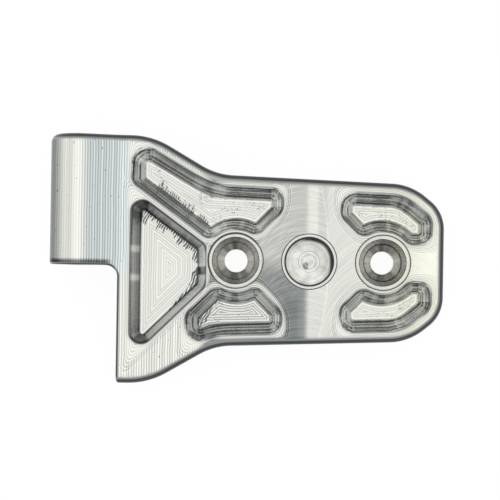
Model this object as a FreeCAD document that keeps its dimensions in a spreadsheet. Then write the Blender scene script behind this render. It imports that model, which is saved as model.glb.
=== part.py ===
import FreeCAD, Part
import math
import os

import Sketcher
from FreeCAD import Placement, Rotation, Vector

# A machined aluminium hinge leaf, milled from one block.
#
# Frame: the origin is midway between the two screw holes, on the flat mounting face.
# +X runs along the line of the holes towards the rounded nose, -X towards the hinge barrel,
# +Y along the hinge pin, +Z out of the worked face.  Lengths are in millimetres, angles in degrees.

SIZES = {
    # plate outline, symmetrical about the line of the holes
    "plate_thickness": 16.0,
    "plate_half_width": 32.0,
    "plate_taper": 2.1,
    "wing_half_span": 48.1,
    "shoulder_angle": 30.2,
    "shoulder_reach": 10.5,
    "shoulder_outer_blend": 30.0,
    "shoulder_inner_blend": 26.0,
    "nose_reach": 52.1,
    "nose_angle": 39.0,
    "nose_corner_cut": 9.36,
    "nose_side_blend": 22.0,
    "nose_tip_blend": 14.0,
    "edge_round": 3.3,
    # knuckle, its pin bore and the notch that takes the other leaf's knuckle
    "barrel_radius": 11.0,
    "barrel_axis_reach": 89.9,
    "barrel_axis_height": 10.5,
    "ramp_angle": 20.0,
    "ramp_blend": 12.0,
    "pin_bore_radius": 5.0,
    "pin_bore_chamfer": 0.6,
    "notch_wall_reach": 74.25,
    "knuckle_end_drop": 2.5,
    "notch_fillet": 4.5,
    "notch_edge_round": 1.2,
    # countersunk screw holes
    "hole_spacing": 57.0,
    "screw_bore_radius": 4.5,
    "screw_seat_radius": 7.1,
    "screw_well_radius": 9.1,
    "screw_well_depth": 3.6,
    "screw_mouth_chamfer": 1.6,
    "screw_exit_chamfer": 0.5,
    # round blind recess between the screw holes
    "recess_radius": 9.6,
    "recess_depth": 6.0,
    "recess_mouth_chamfer": 1.2,
    "recess_spot_radius": 3.7,
    "recess_spot_depth": 1.0,
    # lightening pockets
    "pocket_depth": 10.0,
    "pocket_draft": 24.0,
    "pocket_tip_radius": 0.6,
    "pocket_end_radius": 1.85,
    "pocket_floor_chamfer": 0.45,
    "pocket_lip_round": 2.7,
    "rim_width": 4.1,
    "nose_rim_width": 4.6,
    "boss_radius": 11.95,
    "web_reach": 20.85,
    "web_left_reach": 10.2,
    "web_right_reach": 11.9,
    "nose_land": 7.05,
    "wing_rim_width": 5.05,
    "rib_width": 2.1,
    "upper_rib_angle": 36.2,
    "upper_rib_reach": 18.0,
    "lower_rib_angle": 44.5,
    "lower_rib_reach": 19.8,
    "lower_pocket_past_boss": 7.4,
    "triangle_end_reach": 40.15,
    "triangle_draft": 17.0,
    "triangle_tip_radius": 1.5,
    "triangle_crease_round": 1.5,
}

# How far the cutting tools' outlines stand clear of the stock that they take away.
CLEAR = 5.0
SHEET = "sizes"
# Stands for the corner after a hollow, which runs on into the next side with no arc of its own.
RUN_ON = "run on"


class Size:
    """A number kept together with the spreadsheet expression that gives it."""

    def __init__(self, value, text):
        self.value = value
        self.text = text

    def _join(self, other, sign, value):
        return Size(value, f"({self.text} {sign} {as_size(other).text})")

    def __add__(self, other):
        return self._join(other, "+", self.value + as_size(other).value)

    def __sub__(self, other):
        return self._join(other, "-", self.value - as_size(other).value)

    def __mul__(self, other):
        return self._join(other, "*", self.value * as_size(other).value)

    def __truediv__(self, other):
        return self._join(other, "/", self.value / as_size(other).value)

    def __neg__(self):
        return Size(-self.value, f"(0 - {self.text})")

    def sin(self):
        return Size(math.sin(math.radians(self.value)), f"sin({self.text})")

    def cos(self):
        return Size(math.cos(math.radians(self.value)), f"cos({self.text})")

    def tan(self):
        return Size(math.tan(math.radians(self.value)), f"tan({self.text})")

    def at_most(self, other):
        return Size(min(self.value, other.value), f"min({self.text}; {other.text})")


def as_size(number):
    """Give a plain number the form of a Size."""
    return number if isinstance(number, Size) else Size(float(number), f"{float(number)}")


def make_sheet(doc):
    """Write the driving sizes into a spreadsheet and return them by name."""
    sheet = doc.addObject("Spreadsheet::Sheet", SHEET)
    sheet.Label = SHEET
    for row, (name, number) in enumerate(SIZES.items(), start=1):
        sheet.set(f"A{row}", name)
        sheet.set(f"B{row}", str(number))
        sheet.setAlias(f"B{row}", name)
    doc.recompute()
    return {name: Size(float(sheet.get(name)), f"{SHEET}.{name}") for name in SIZES}


# ---------------------------------------------------------------- sketch helpers


class Straight:
    """A straight side of an outline that is walked with the material on its left.

    heading is the walking direction and reach how far the side lies from the sketch origin,
    counted towards the side's right.
    """

    def __init__(self, heading, reach):
        self.heading = as_size(heading)
        self.reach = as_size(reach)

    def along(self):
        angle = math.radians(self.heading.value)
        return Vector(math.cos(angle), math.sin(angle), 0)

    def outward(self):
        angle = math.radians(self.heading.value)
        return Vector(math.sin(angle), -math.cos(angle), 0)


class Round:
    """A round side that is walked clockwise about a boss centred on the sketch's X axis."""

    def __init__(self, centre_x, radius):
        self.centre_x = as_size(centre_x)
        self.radius = as_size(radius)

    def centre(self):
        return Vector(self.centre_x.value, 0, 0)


class Hollow(Round):
    """A round side, walked clockwise, that blends a guide line with the straight side that follows.

    The guide is a straight line that the outline itself is too short to reach.
    """

    def __init__(self, guide, following, radius):
        self.guide = guide
        self.following = following
        self.radius = as_size(radius)

    def centre(self):
        return line_meets_line(self.guide, self.following, self.radius.value, -1)


def mirrored(sides, corners):
    """Mirror an outline in the X axis; the order turns round so that it is still walked the same way."""
    flipped = []
    for side in reversed(sides):
        if isinstance(side, Round):
            flipped.append(side)
        else:
            flipped.append(Straight(as_size(180) - side.heading, side.reach))
    return flipped, list(reversed(corners[:-1])) + [corners[-1]]


def line_meets_line(first, second, radius, turn):
    """Centre of the arc of a radius that blends two straight sides."""
    normal_a, normal_b = first.outward(), second.outward()
    reach_a = first.reach.value - turn * radius
    reach_b = second.reach.value - turn * radius
    spread = normal_a.x * normal_b.y - normal_a.y * normal_b.x
    return Vector(
        (reach_a * normal_b.y - reach_b * normal_a.y) / spread,
        (normal_a.x * reach_b - normal_b.x * reach_a) / spread,
        0,
    )


def line_meets_boss(line, boss, radius, leaving):
    """Centre of the arc of a radius that blends a straight side with a round one."""
    foot = line.outward() * (line.reach.value - radius)
    start = boss.centre() - foot
    step = start.dot(line.along())
    gap = start.dot(line.outward())
    half = math.sqrt((boss.radius.value + radius) ** 2 - gap**2)
    return foot + line.along() * (step + half if leaving else step - half)


def blend_centre(first, second, radius):
    """Centre of the corner arc between two sides, and whether it turns left (1) or right (-1)."""
    if isinstance(first, Round):
        return line_meets_boss(second, first, radius, leaving=True), 1
    if isinstance(second, Round):
        return line_meets_boss(first, second, radius, leaving=False), 1
    turning = (second.heading.value - first.heading.value + 180) % 360 - 180
    turn = 1 if turning > 0 else -1
    return line_meets_line(first, second, radius, turn), turn


def touch_point(side, centre, radius, turn):
    """Where a corner arc touches a side."""
    if isinstance(side, Round):
        return centre + (side.centre() - centre).normalize() * radius
    return centre + side.outward() * (turn * radius)


def arc_between(centre, radius, start, end, anticlockwise):
    """An arc walked from start to end, with the numbers of its first and last walked ends."""
    if not anticlockwise:
        start, end = end, start
    from_angle = math.atan2(start.y - centre.y, start.x - centre.x)
    to_angle = math.atan2(end.y - centre.y, end.x - centre.x)
    if to_angle <= from_angle:
        to_angle += 2 * math.pi
    circle = Part.Circle(centre, Vector(0, 0, 1), radius)
    ends = (1, 2) if anticlockwise else (2, 1)
    return Part.ArcOfCircle(circle, from_angle, to_angle), ends


def bind(sketch, constraint, size):
    """Add a dimension to a sketch and tie it to the spreadsheet."""
    index = sketch.addConstraint(constraint)
    sketch.setExpression(f"Constraints[{index}]", size.text)


def hold_straight(sketch, index, side):
    """Hold a straight side by its direction and its distance from the origin."""
    heading = side.heading
    while heading.value > 180:
        heading = heading - 360
    reach = side.reach if side.reach.value > 0 else -side.reach
    angle = Sketcher.Constraint("Angle", index, math.radians(heading.value))
    bind(sketch, angle, heading)
    bind(sketch, Sketcher.Constraint("Distance", -1, 1, index, reach.value), reach)


def hold_round(sketch, index, side):
    """Hold a round side by its radius, and by its centre on the X axis or the guide that it touches."""
    bind(sketch, Sketcher.Constraint("Radius", index, side.radius.value), side.radius)
    if isinstance(side, Hollow):
        hold_by_guide(sketch, index, side)
        return
    sketch.addConstraint(Sketcher.Constraint("PointOnObject", index, 3, -1))
    offset = Sketcher.Constraint("DistanceX", -1, 1, index, 3, side.centre_x.value)
    bind(sketch, offset, side.centre_x)


def hold_by_guide(sketch, index, side):
    """Draw a hollow's guide as a construction line between the axes, and make the hollow touch it."""
    line = side.guide
    start = Vector(0, line.reach.value / line.outward().y, 0)
    end = Vector(line.reach.value / line.outward().x, 0, 0)
    guide = sketch.addGeometry(Part.LineSegment(start, end), True)
    hold_straight(sketch, guide, line)
    sketch.addConstraint(Sketcher.Constraint("Tangent", index, guide))
    sketch.addConstraint(Sketcher.Constraint("PointOnObject", guide, 1, -2))
    sketch.addConstraint(Sketcher.Constraint("PointOnObject", guide, 2, -1))


def find_blend(side, following, corner):
    """Where a corner's arc has its centre and ends, and which way it turns."""
    if corner is RUN_ON:
        touch = side.centre() - following.outward() * side.radius.value
        return None, 0, touch, touch
    centre, turn = blend_centre(side, following, corner.value)
    leave = touch_point(side, centre, corner.value, turn)
    arrive = touch_point(following, centre, corner.value, turn)
    return centre, turn, leave, arrive


def add_side(sketch, side, start, end):
    """Add one side of an outline and hold it in place."""
    if isinstance(side, Round):
        arc, ends = arc_between(side.centre(), side.radius.value, start, end, False)
        index = sketch.addGeometry(arc, False)
        hold_round(sketch, index, side)
        return index, ends
    index = sketch.addGeometry(Part.LineSegment(start, end), False)
    hold_straight(sketch, index, side)
    return index, (1, 2)


def add_corner(sketch, corner, blend):
    """Add the arc of a corner, or name the joint that stands in its place."""
    centre, turn, leave, arrive = blend
    if corner is RUN_ON:
        return "Tangent"
    if corner.value == 0:
        return "Coincident"
    arc, ends = arc_between(centre, corner.value, leave, arrive, turn > 0)
    index = sketch.addGeometry(arc, False)
    bind(sketch, Sketcher.Constraint("Radius", index, corner.value), corner)
    return index, ends


def add_outline(sketch, sides, corners):
    """Add a closed outline: sides in walking order, and the radius of the corner after each side."""
    corners = [corner if corner is RUN_ON else as_size(corner) for corner in corners]
    blends = []
    for side, following, corner in zip(sides, sides[1:] + sides[:1], corners):
        blends.append(find_blend(side, following, corner))
    chain = []
    for number, side in enumerate(sides):
        start, end = blends[number - 1][3], blends[number][2]
        chain.append(add_side(sketch, side, start, end))
        chain.append(add_corner(sketch, corners[number], blends[number]))
    join_chain(sketch, chain)


def join_chain(sketch, chain):
    """Join a closed outline's sides, smoothly by way of their corner arcs or straight to each other."""
    for number in range(0, len(chain), 2):
        side, corner = chain[number], chain[number + 1]
        following = chain[(number + 2) % len(chain)]
        if isinstance(corner, str):
            meet(sketch, corner, side, following)
        else:
            meet(sketch, "Tangent", side, corner)
            meet(sketch, "Tangent", corner, following)


def meet(sketch, kind, first, second):
    """Join the last end of one piece to the first end of the next."""
    sketch.addConstraint(Sketcher.Constraint(kind, first[0], first[1][1], second[0], second[1][0]))


def add_profile(sketch, points):
    """Add a closed polygon whose corners are pairs of sizes."""
    count = len(points)
    flat = [Vector(as_size(x).value, as_size(y).value, 0) for x, y in points]
    for number in range(count):
        sketch.addGeometry(Part.LineSegment(flat[number], flat[(number + 1) % count]), False)
    for number in range(count):
        joint = Sketcher.Constraint("Coincident", number, 2, (number + 1) % count, 1)
        sketch.addConstraint(joint)
        across, up = as_size(points[number][0]), as_size(points[number][1])
        place_on_axis(sketch, number, "DistanceX", across, -2)
        place_on_axis(sketch, number, "DistanceY", up, -1)


def place_on_axis(sketch, index, kind, size, axis):
    """Place a line's first end along one axis; a size of nothing puts it on the other axis."""
    if abs(size.value) < 1e-9:
        sketch.addConstraint(Sketcher.Constraint("PointOnObject", index, 1, axis))
    else:
        bind(sketch, Sketcher.Constraint(kind, -1, 1, index, 1, size.value), size)


def origin_plane(body, role):
    """One of the body's own origin planes, found by its role."""
    return next(item for item in body.Origin.OriginFeatures if item.Role == role)


def new_sketch(body, name, role, lift=None):
    """A sketch on an origin plane of its body, lifted off it by a size where one is given."""
    sketch = body.newObject("Sketcher::SketchObject", name)
    sketch.AttachmentSupport = (origin_plane(body, role), [""])
    sketch.MapMode = "FlatFace"
    if lift is not None:
        sketch.AttachmentOffset = Placement(Vector(0, 0, lift.value), Rotation())
        sketch.setExpression("AttachmentOffset.Base.z", lift.text)
    return sketch


# ---------------------------------------------------------------- feature helpers


def add_feature(body, kind, name, sketch):
    """A sketch-based feature at the end of a body."""
    feature = body.newObject(kind, name)
    feature.Profile = sketch
    return feature


def add_pad(body, name, sketch, length, reverse=False):
    """Raise a sketch by a length."""
    pad = add_feature(body, "PartDesign::Pad", name, sketch)
    pad.Length = length.value
    pad.setExpression("Length", length.text)
    pad.Reversed = reverse
    return pad


def add_through_cut(body, name, sketch):
    """Cut a sketch right through a body both ways."""
    cut = add_feature(body, "PartDesign::Pocket", name, sketch)
    cut.Type = "ThroughAll"
    cut.Midplane = True
    return cut


def add_dress_up(body, kind, name, base, edges, radius):
    """Round or chamfer named edges of the feature before."""
    feature = body.newObject(kind, name)
    feature.Base = (base, edges)
    prop = "Radius" if kind == "PartDesign::Fillet" else "Size"
    setattr(feature, prop, radius.value)
    feature.setExpression(prop, radius.text)
    return feature


def add_turned_cut(body, name, sketch, axis_name):
    """Turn a half profile about one of its sketch's axes and cut it away."""
    groove = add_feature(body, "PartDesign::Groove", name, sketch)
    groove.ReferenceAxis = (sketch, [axis_name])
    groove.Angle = 360
    return groove


def is_upright(face):
    """True for a wall that stands square to the mounting face."""
    if isinstance(face.Surface, Part.Plane):
        return abs(face.Surface.Axis.z) < 1e-6
    return isinstance(face.Surface, Part.Cylinder) and abs(face.Surface.Axis.z) > 1 - 1e-6


def is_mounting_face(face):
    """True for the flat underside at height nought."""
    return isinstance(face.Surface, Part.Plane) and face.BoundBox.ZMax < 1e-6


def edge_names(shape, wanted):
    """Names of the edges for which wanted(edge, faces beside it) holds."""
    names = []
    for number, edge in enumerate(shape.Edges, start=1):
        if wanted(edge, shape.ancestorsOfType(edge, Part.Face)):
            names.append(f"Edge{number}")
    return names


def face_names(shape, wanted):
    """Names of the faces for which wanted(face) holds."""
    return [f"Face{n}" for n, face in enumerate(shape.Faces, start=1) if wanted(face)]


def at_height(edge, height):
    """True for an edge that lies level at a height."""
    box = edge.BoundBox
    return abs(box.ZMin - height) < 1e-4 and abs(box.ZMax - height) < 1e-4


# ---------------------------------------------------------------- the stock and its outside


def nose_corner_reach(size):
    """Where the nose's slanting sides lie, from how much they cut off the square corners."""
    angle = size["nose_angle"]
    square_corner = size["nose_reach"] * angle.sin() + size["plate_half_width"] * angle.cos()
    return square_corner - size["nose_corner_cut"]


def wing_rim_reach(size):
    """Where the wing's rim ends and its pockets begin."""
    return size["notch_wall_reach"] - size["wing_rim_width"]


def shoulder_outer_blend(size):
    """The round from the wing's side into the shoulder, held to most of that side's length."""
    angle = size["shoulder_angle"]
    start = (size["wing_half_span"] * angle.cos() - size["shoulder_reach"]) / angle.sin()
    room = size["notch_wall_reach"] - start
    return size["shoulder_outer_blend"].at_most(room * 0.9 / (angle * 0.5).tan())


def plan_outline(size):
    """The leaf seen from above: knuckle, notch, wing, shoulders, tapering plate and nose."""
    barrel_left = size["barrel_axis_reach"] + size["barrel_radius"]
    shoulder = size["shoulder_angle"]
    taper = size["plate_taper"]
    nose = size["nose_angle"]
    nose_corner = nose_corner_reach(size)
    outer_blend = shoulder_outer_blend(size)
    sides = [
        Straight(0, size["knuckle_end_drop"]),
        Straight(-90, size["notch_wall_reach"]),
        Straight(0, size["wing_half_span"]),
        Straight(shoulder, size["shoulder_reach"]),
        Straight(taper, size["plate_half_width"]),
        Straight(nose, nose_corner),
        Straight(90, size["nose_reach"]),
        Straight(as_size(180) - nose, nose_corner),
        Straight(as_size(180) - taper, size["plate_half_width"]),
        Straight(as_size(180) - shoulder, size["shoulder_reach"]),
        Straight(180, size["wing_half_span"]),
        Straight(-90, barrel_left),
    ]
    corners = [
        size["notch_fillet"],
        0,
        outer_blend,
        size["shoulder_inner_blend"],
        size["nose_side_blend"],
        size["nose_tip_blend"],
        size["nose_tip_blend"],
        size["nose_side_blend"],
        size["shoulder_inner_blend"],
        outer_blend,
        0,
        0,
    ]
    return sides, corners


def build_blank(body, size):
    """Raise the plan outline to just above the barrel's crown."""
    sketch = new_sketch(body, "plan_sketch", "XY_Plane")
    add_outline(sketch, *plan_outline(size))
    crown = size["barrel_axis_height"] + size["barrel_radius"]
    return add_pad(body, "blank", sketch, crown + CLEAR)


def build_side_profile(body, size):
    """Mill the barrel, its ramp and the plate's top across the whole width."""
    sketch = new_sketch(body, "side_sketch", "XZ_Plane")
    axis = Vector(-size["barrel_axis_reach"].value, size["barrel_axis_height"].value, 0)
    radius = size["barrel_radius"].value
    ramp = math.radians(size["ramp_angle"].value)
    top = size["plate_thickness"].value
    blend = size["ramp_blend"].value
    normal = Vector(math.sin(ramp), math.cos(ramp), 0)
    ramp_start = axis + normal * radius
    blend_y = top + blend
    drop = ramp_start.y - (blend_y - blend * math.cos(ramp))
    ramp_end = Vector(ramp_start.x + drop / math.tan(ramp), ramp_start.y - drop, 0)
    blend_centre_point = Vector(ramp_end.x + blend * math.sin(ramp), blend_y, 0)
    top_start = Vector(blend_centre_point.x, top, 0)
    foot = Vector(axis.x - math.sqrt(radius**2 - axis.y**2), 0, 0)
    left = axis.x - radius - CLEAR
    right = size["nose_reach"].value + CLEAR
    ceiling = axis.y + radius + 2 * CLEAR
    outer = [
        top_start,
        Vector(right, top, 0),
        Vector(right, ceiling, 0),
        Vector(left, ceiling, 0),
        Vector(left, -CLEAR, 0),
        Vector(foot.x, -CLEAR, 0),
        foot,
    ]
    barrel, barrel_ends = arc_between(axis, radius, foot, ramp_start, False)
    hollow, hollow_ends = arc_between(blend_centre_point, blend, ramp_end, top_start, True)
    pieces = [
        (sketch.addGeometry(barrel, False), barrel_ends),
        (sketch.addGeometry(Part.LineSegment(ramp_start, ramp_end), False), (1, 2)),
        (sketch.addGeometry(hollow, False), hollow_ends),
    ]
    for start, end in zip(outer, outer[1:]):
        pieces.append((sketch.addGeometry(Part.LineSegment(start, end), False), (1, 2)))
    for first, second in zip(pieces[:3], pieces[1:4]):
        meet(sketch, "Tangent", first, second)
    for first, second in zip(pieces[3:], pieces[4:] + pieces[:1]):
        meet(sketch, "Coincident", first, second)
    for index, kind in ((3, "Horizontal"), (4, "Vertical"), (5, "Horizontal"), (6, "Vertical")):
        sketch.addConstraint(Sketcher.Constraint(kind, index))
    for index, kind in ((7, "Horizontal"), (8, "Vertical")):
        sketch.addConstraint(Sketcher.Constraint(kind, index))
    sketch.addConstraint(Sketcher.Constraint("PointOnObject", 8, 2, -1))
    crown = size["barrel_axis_height"] + size["barrel_radius"]
    bind(sketch, Sketcher.Constraint("DistanceX", -1, 1, 0, 3, axis.x), -size["barrel_axis_reach"])
    bind(sketch, Sketcher.Constraint("DistanceY", -1, 1, 0, 3, axis.y), size["barrel_axis_height"])
    bind(sketch, Sketcher.Constraint("Radius", 0, radius), size["barrel_radius"])
    bind(sketch, Sketcher.Constraint("Angle", 1, -ramp), -size["ramp_angle"])
    bind(sketch, Sketcher.Constraint("Radius", 2, blend), size["ramp_blend"])
    bind(sketch, Sketcher.Constraint("DistanceY", -1, 1, 3, 1, top), size["plate_thickness"])
    bind(sketch, Sketcher.Constraint("DistanceX", -1, 1, 3, 2, right), size["nose_reach"] + CLEAR)
    bind(sketch, Sketcher.Constraint("DistanceY", -1, 1, 4, 2, ceiling), crown + 2 * CLEAR)
    left_size = -(size["barrel_axis_reach"] + size["barrel_radius"] + CLEAR)
    bind(sketch, Sketcher.Constraint("DistanceX", -1, 1, 5, 2, left), left_size)
    sketch.addConstraint(Sketcher.Constraint("DistanceY", -1, 1, 6, 2, -CLEAR))
    return add_through_cut(body, "side_profile", sketch)


def round_outline(body, size, base):
    """Round the worked face's edge all round the outline, over the barrel's ends too.

    One edge stands for each run, since a fillet follows the edges that run on smoothly from it.
    The notch takes a smaller round after the rest, which also runs down the wing's upright corner.
    """
    top = size["plate_thickness"].value
    tip_reach = size["nose_reach"].value
    wall_reach = size["notch_wall_reach"].value
    tip = edge_names(
        base.Shape,
        lambda edge, faces: at_height(edge, top) and edge.BoundBox.XMin > tip_reach - 1e-3,
    )
    edge_round = size["edge_round"]
    rounded = add_dress_up(body, "PartDesign::Fillet", "outline_round", base, tip, edge_round)
    body.Document.recompute()

    def tops_notch_wall(edge, faces):
        box = edge.BoundBox
        flat_on = abs(box.XMin + wall_reach) < 1e-3 and abs(box.XMax + wall_reach) < 1e-3
        return flat_on and box.ZLength < 1e-3 and box.ZMin > top - 1e-3

    notch = edge_names(rounded.Shape, tops_notch_wall)
    notch_round = size["notch_edge_round"]
    return add_dress_up(body, "PartDesign::Fillet", "notch_round", rounded, notch, notch_round)


def build_pin_bore(body, size):
    """Bore the knuckle for the hinge pin and break the bore's edges."""
    sketch = new_sketch(body, "pin_bore_sketch", "XZ_Plane")
    centre = Vector(-size["barrel_axis_reach"].value, size["barrel_axis_height"].value, 0)
    radius = size["pin_bore_radius"]
    sketch.addGeometry(Part.Circle(centre, Vector(0, 0, 1), radius.value), False)
    bind(sketch, Sketcher.Constraint("DistanceX", -1, 1, 0, 3, centre.x), -size["barrel_axis_reach"])
    bind(sketch, Sketcher.Constraint("DistanceY", -1, 1, 0, 3, centre.y), size["barrel_axis_height"])
    bind(sketch, Sketcher.Constraint("Radius", 0, radius.value), radius)
    bore = add_through_cut(body, "pin_bore", sketch)
    body.Document.recompute()

    def is_bore_rim(edge, faces):
        box = edge.BoundBox
        return box.YLength < 1e-4 and abs(box.ZLength - 2 * radius.value) < 1e-3

    edges = edge_names(bore.Shape, is_bore_rim)
    chamfer = size["pin_bore_chamfer"]
    return add_dress_up(body, "PartDesign::Chamfer", "pin_bore_chamfer", bore, edges, chamfer)


# ---------------------------------------------------------------- lightening pockets


def pocket_corner(size, floor_radius, draft):
    """Corner radius at the mouth of a drafted wall, from the one at its floor."""
    return floor_radius + size["pocket_depth"] * draft.tan()


def upper_left_pocket(size):
    """The long pocket between the upper shoulder, the triangle's rib and the first screw boss."""
    corner = pocket_corner(size, size["pocket_tip_radius"], size["pocket_draft"])
    end = pocket_corner(size, size["pocket_end_radius"], size["pocket_draft"])
    rim = size["rim_width"]
    sides = [
        Straight(-size["upper_rib_angle"], size["upper_rib_reach"] - size["rib_width"] * 0.5),
        Round(-size["hole_spacing"] * 0.5, size["boss_radius"]),
        Straight(45, -size["web_reach"]),
        Straight(90, -size["web_left_reach"]),
        Straight(as_size(180) - size["plate_taper"], size["plate_half_width"] - rim),
        Straight(as_size(180) - size["shoulder_angle"], size["shoulder_reach"] - rim),
        Straight(270, wing_rim_reach(size)),
    ]
    blend = size["shoulder_inner_blend"] + rim
    return sides, [corner, corner, corner, corner, blend, end, corner]


def lower_left_pocket(size):
    """The pocket between the lower rib, the lower shoulder and the first screw boss."""
    corner = pocket_corner(size, size["pocket_tip_radius"], size["pocket_draft"])
    end = pocket_corner(size, size["pocket_end_radius"], size["pocket_draft"])
    rim = size["rim_width"]
    rib = as_size(180) + size["lower_rib_angle"]
    shoulder = Straight(size["shoulder_angle"], size["shoulder_reach"] - rim)
    plate_side = Straight(size["plate_taper"], size["plate_half_width"] - rim)
    left_end = size["hole_spacing"] * 0.5 + size["boss_radius"] + size["lower_pocket_past_boss"]
    sides = [
        Straight(270, left_end),
        Hollow(shoulder, plate_side, size["shoulder_inner_blend"] + rim),
        plate_side,
        Straight(90, -size["web_left_reach"]),
        Straight(135, -size["web_reach"]),
        Round(-size["hole_spacing"] * 0.5, size["boss_radius"]),
        Straight(rib, size["lower_rib_reach"] - size["rib_width"] * 0.5),
    ]
    return sides, [end, RUN_ON, corner, corner, corner, corner, corner]


def upper_right_pocket(size):
    """The bent pocket that follows the nose and wraps round the second screw boss."""
    corner = pocket_corner(size, size["pocket_tip_radius"], size["pocket_draft"])
    end = pocket_corner(size, size["pocket_end_radius"], size["pocket_draft"])
    rim = size["nose_rim_width"]
    sides = [
        Straight(0, -size["nose_land"]),
        Straight(90, size["nose_reach"] - rim),
        Straight(as_size(180) - size["nose_angle"], nose_corner_reach(size) - rim),
        Straight(as_size(180) - size["plate_taper"], size["plate_half_width"] - size["rim_width"]),
        Straight(270, -size["web_right_reach"]),
        Straight(315, -size["web_reach"]),
        Round(size["hole_spacing"] * 0.5, size["boss_radius"]),
    ]
    return sides, [corner, end, size["nose_side_blend"] - rim, end, corner, corner, corner]


def triangle_pocket(size):
    """The triangle between the two ribs and the wing's rim, with its blunt end at the first boss."""
    corner = pocket_corner(size, size["triangle_tip_radius"], size["triangle_draft"])
    half_rib = size["rib_width"] * 0.5
    sides = [
        Straight(270, wing_rim_reach(size)),
        Straight(size["lower_rib_angle"], -(size["lower_rib_reach"] + half_rib)),
        Straight(90, -size["triangle_end_reach"]),
        Straight(as_size(180) - size["upper_rib_angle"], -(size["upper_rib_reach"] + half_rib)),
    ]
    return sides, [corner, 0, 0, corner]


def build_pocket_tool(doc, name, size, outlines, draft, sharp_ends):
    """A solid the shape of what the pockets remove, hung under a slab that lies on the plate's top.

    The walls lean outwards by the draft, the floor edge is chamfered, and where the walls meet the
    slab a fillet flares them out into the pocket's lip.
    """
    tool = doc.addObject("PartDesign::Body", name)
    tool.Label = name
    top = size["plate_thickness"]
    slab_sketch = new_sketch(tool, f"{name}_slab_sketch", "XY_Plane", top)
    left = -(wing_rim_reach(size) + size["pocket_lip_round"])
    right = size["nose_reach"] + CLEAR
    width = size["wing_half_span"] + CLEAR
    add_profile(slab_sketch, [(left, -width), (right, -width), (right, width), (left, width)])
    crown = size["barrel_axis_height"] + size["barrel_radius"]
    add_pad(tool, f"{name}_slab", slab_sketch, crown - top + CLEAR)
    mouth_sketch = new_sketch(tool, f"{name}_mouth_sketch", "XY_Plane", top)
    for sides, corners in outlines:
        add_outline(mouth_sketch, sides, corners)
    block = add_pad(tool, f"{name}_block", mouth_sketch, size["pocket_depth"], reverse=True)
    doc.recompute()
    drafted = draft_walls(tool, name, size, block, draft)
    doc.recompute()
    if sharp_ends:
        drafted = round_creases(tool, name, size, drafted)
        doc.recompute()
    floor_height = top.value - size["pocket_depth"].value
    floor_edges = edge_names(drafted.Shape, lambda edge, faces: at_height(edge, floor_height))
    floor_cut = size["pocket_floor_chamfer"]
    floored = add_dress_up(tool, "PartDesign::Chamfer", f"{name}_floor", drafted, floor_edges, floor_cut)
    doc.recompute()

    def is_mouth(edge, faces):
        leaning = [face for face in faces if face.BoundBox.ZMin < top.value - 1e-3]
        return at_height(edge, top.value) and len(leaning) == 1

    lip_edges = edge_names(floored.Shape, is_mouth)
    lip_round = size["pocket_lip_round"]
    add_dress_up(tool, "PartDesign::Fillet", f"{name}_lip", floored, lip_edges, lip_round)
    doc.recompute()
    return tool


def draft_walls(tool, name, size, block, angle):
    """Lean the pocket walls by the draft angle about the plate's top."""
    top = size["plate_thickness"].value
    walls = face_names(block.Shape, lambda face: is_upright(face) and face.BoundBox.ZMax < top + 1e-3)
    neutral = face_names(
        block.Shape,
        lambda face: not is_upright(face) and abs(face.BoundBox.ZMax - top) < 1e-4,
    )
    draft = tool.newObject("PartDesign::Draft", f"{name}_draft")
    draft.Base = (block, walls)
    draft.NeutralPlane = (block, neutral)
    draft.Angle = angle.value
    draft.setExpression("Angle", angle.text)
    draft.Reversed = True
    return draft


def round_creases(tool, name, size, drafted):
    """Round the leaning creases where two flat pocket walls meet at a sharp corner."""
    top = size["plate_thickness"].value
    floor_height = top - size["pocket_depth"].value

    def is_crease(edge, faces):
        box = edge.BoundBox
        spans = abs(box.ZMin - floor_height) < 1e-4 and abs(box.ZMax - top) < 1e-4
        return spans and all(isinstance(face.Surface, Part.Plane) for face in faces)

    edges = edge_names(drafted.Shape, is_crease)
    crease = size["triangle_crease_round"]
    return add_dress_up(tool, "PartDesign::Fillet", f"{name}_crease", drafted, edges, crease)


def cut_pockets(body, name, tool):
    """Take a pocket tool out of the leaf."""
    cut = body.newObject("PartDesign::Boolean", name)
    cut.Type = "Cut"
    cut.setObjects([tool])
    return cut


# ---------------------------------------------------------------- turned features


def build_screw_hole(body, size, name, centre_x):
    """A screw hole with a chamfered mouth, a steep well, a 90 degree seat and a clearance bore."""
    top = size["plate_thickness"]
    well_top = top - size["screw_mouth_chamfer"]
    seat_top = well_top - size["screw_well_depth"]
    seat_drop = size["screw_seat_radius"] - size["screw_bore_radius"]
    mouth_radius = size["screw_well_radius"] + size["screw_mouth_chamfer"]
    exit_radius = size["screw_bore_radius"] + size["screw_exit_chamfer"]
    half_profile = [
        (0, 0),
        (exit_radius, 0),
        (size["screw_bore_radius"], size["screw_exit_chamfer"]),
        (size["screw_bore_radius"], seat_top - seat_drop),
        (size["screw_seat_radius"], seat_top),
        (size["screw_well_radius"], well_top),
        (mouth_radius, top),
        (mouth_radius, top + CLEAR),
        (0, top + CLEAR),
    ]
    return build_turned_cut(body, name, half_profile, centre_x)


def build_recess(body, size):
    """The blind round recess midway between the screw holes, with its spot-drilled centre."""
    top = size["plate_thickness"]
    floor = top - size["recess_depth"]
    mouth_radius = size["recess_radius"] + size["recess_mouth_chamfer"]
    half_profile = [
        (0, floor - size["recess_spot_depth"]),
        (size["recess_spot_radius"], floor),
        (size["recess_radius"], floor),
        (size["recess_radius"], top - size["recess_mouth_chamfer"]),
        (mouth_radius, top),
        (mouth_radius, top + CLEAR),
        (0, top + CLEAR),
    ]
    return build_turned_cut(body, "recess", half_profile, as_size(0))


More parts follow.
